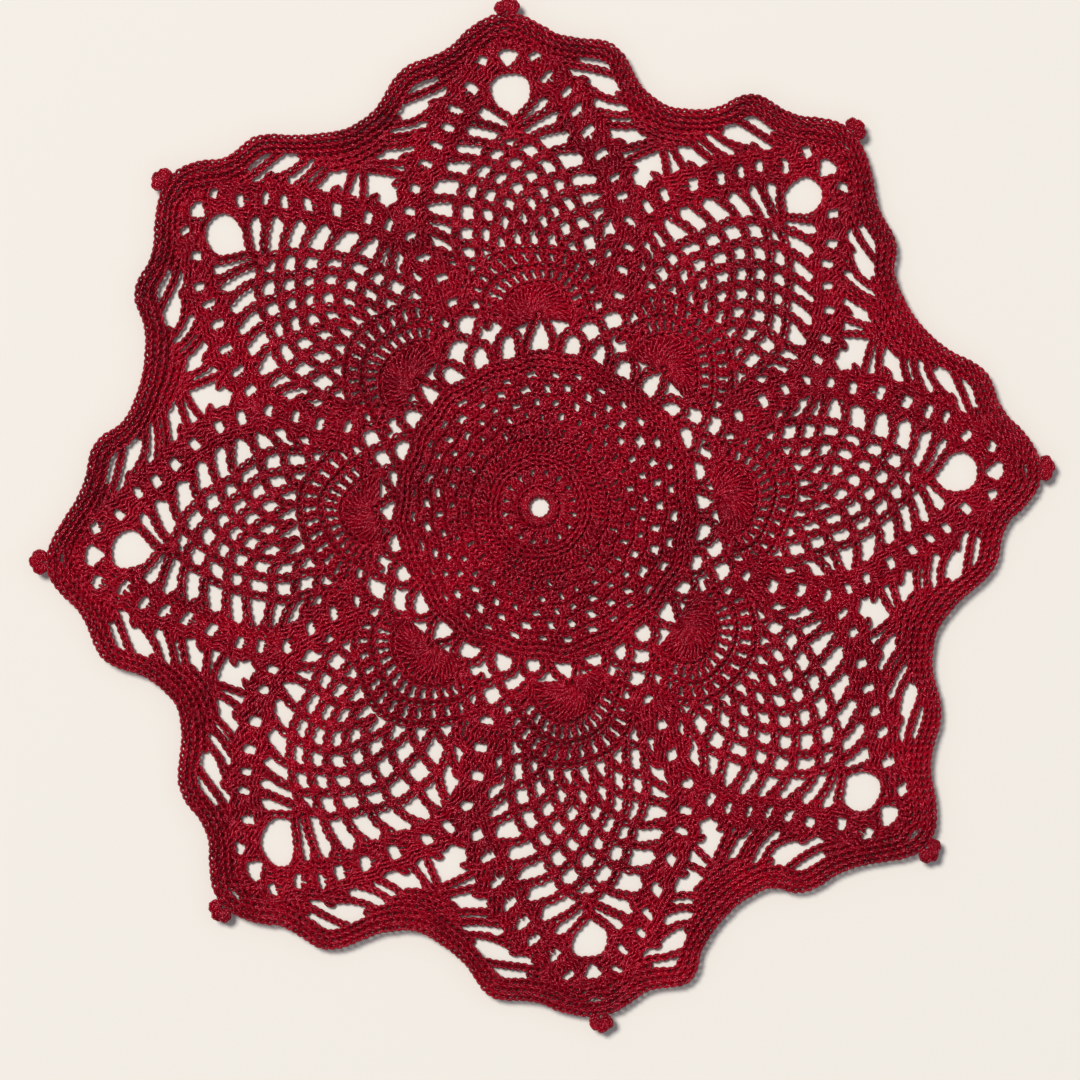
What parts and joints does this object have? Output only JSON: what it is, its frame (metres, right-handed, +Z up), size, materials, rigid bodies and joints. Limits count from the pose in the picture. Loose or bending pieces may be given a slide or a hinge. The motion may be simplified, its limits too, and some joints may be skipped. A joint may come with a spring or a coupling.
{
  "type": "crocheted doily",
  "caption": "Round crocheted thread doily with a close-worked medallion, open pineapple nets and a scalloped border with a picot on each point.",
  "frame": {"origin": "centre of the doily's bounding box, on the surface that it rests on", "axes": "+Z up through the thickness, +Y towards the point that lies furthest up in the plan view, +X to the right"},
  "size_m": [0.2772, 0.2804, 0.0022],
  "materials": {
    "close_work": "deep red mercerised cotton, close stitches",
    "open_work": "deep red mercerised cotton, open chain loops"
  },
  "bodies": {
    "root": {"centre_ring": "close_work", "spoke_round": "close_work", "dense_rounds": "close_work", "open_rounds": "open_work", "medallion_rim": "close_work", "arch_lattice": "open_work", "pineapple_fan_1": "close_work", "pineapple_net_1": "open_work", "shell_columns_1": "close_work", "valley_wedge_1": "open_work", "point_cluster_1": "close_work", "tip_picot_1": "close_work", "pineapple_fan_2": "close_work", "pineapple_net_2": "open_work", "shell_columns_2": "close_work", "valley_wedge_2": "open_work", "point_cluster_2": "close_work", "tip_picot_2": "close_work", "pineapple_fan_3": "close_work", "pineapple_net_3": "open_work", "shell_columns_3": "close_work", "valley_wedge_3": "open_work", "point_cluster_3": "close_work", "tip_picot_3": "close_work", "pineapple_fan_4": "close_work", "pineapple_net_4": "open_work", "shell_columns_4": "close_work", "valley_wedge_4": "open_work", "point_cluster_4": "close_work", "tip_picot_4": "close_work", "pineapple_fan_5": "close_work", "pineapple_net_5": "open_work", "shell_columns_5": "close_work", "valley_wedge_5": "open_work", "point_cluster_5": "close_work", "tip_picot_5": "close_work", "pineapple_fan_6": "close_work", "pineapple_net_6": "open_work", "shell_columns_6": "close_work", "valley_wedge_6": "open_work", "point_cluster_6": "close_work", "tip_picot_6": "close_work", "pineapple_fan_7": "close_work", "pineapple_net_7": "open_work", "shell_columns_7": "close_work", "valley_wedge_7": "open_work", "point_cluster_7": "close_work", "tip_picot_7": "close_work", "pineapple_fan_8": "close_work", "pineapple_net_8": "open_work", "shell_columns_8": "close_work", "valley_wedge_8": "open_work", "point_cluster_8": "close_work", "tip_picot_8": "close_work", "border": "close_work"}
  },
  "joints": []
}
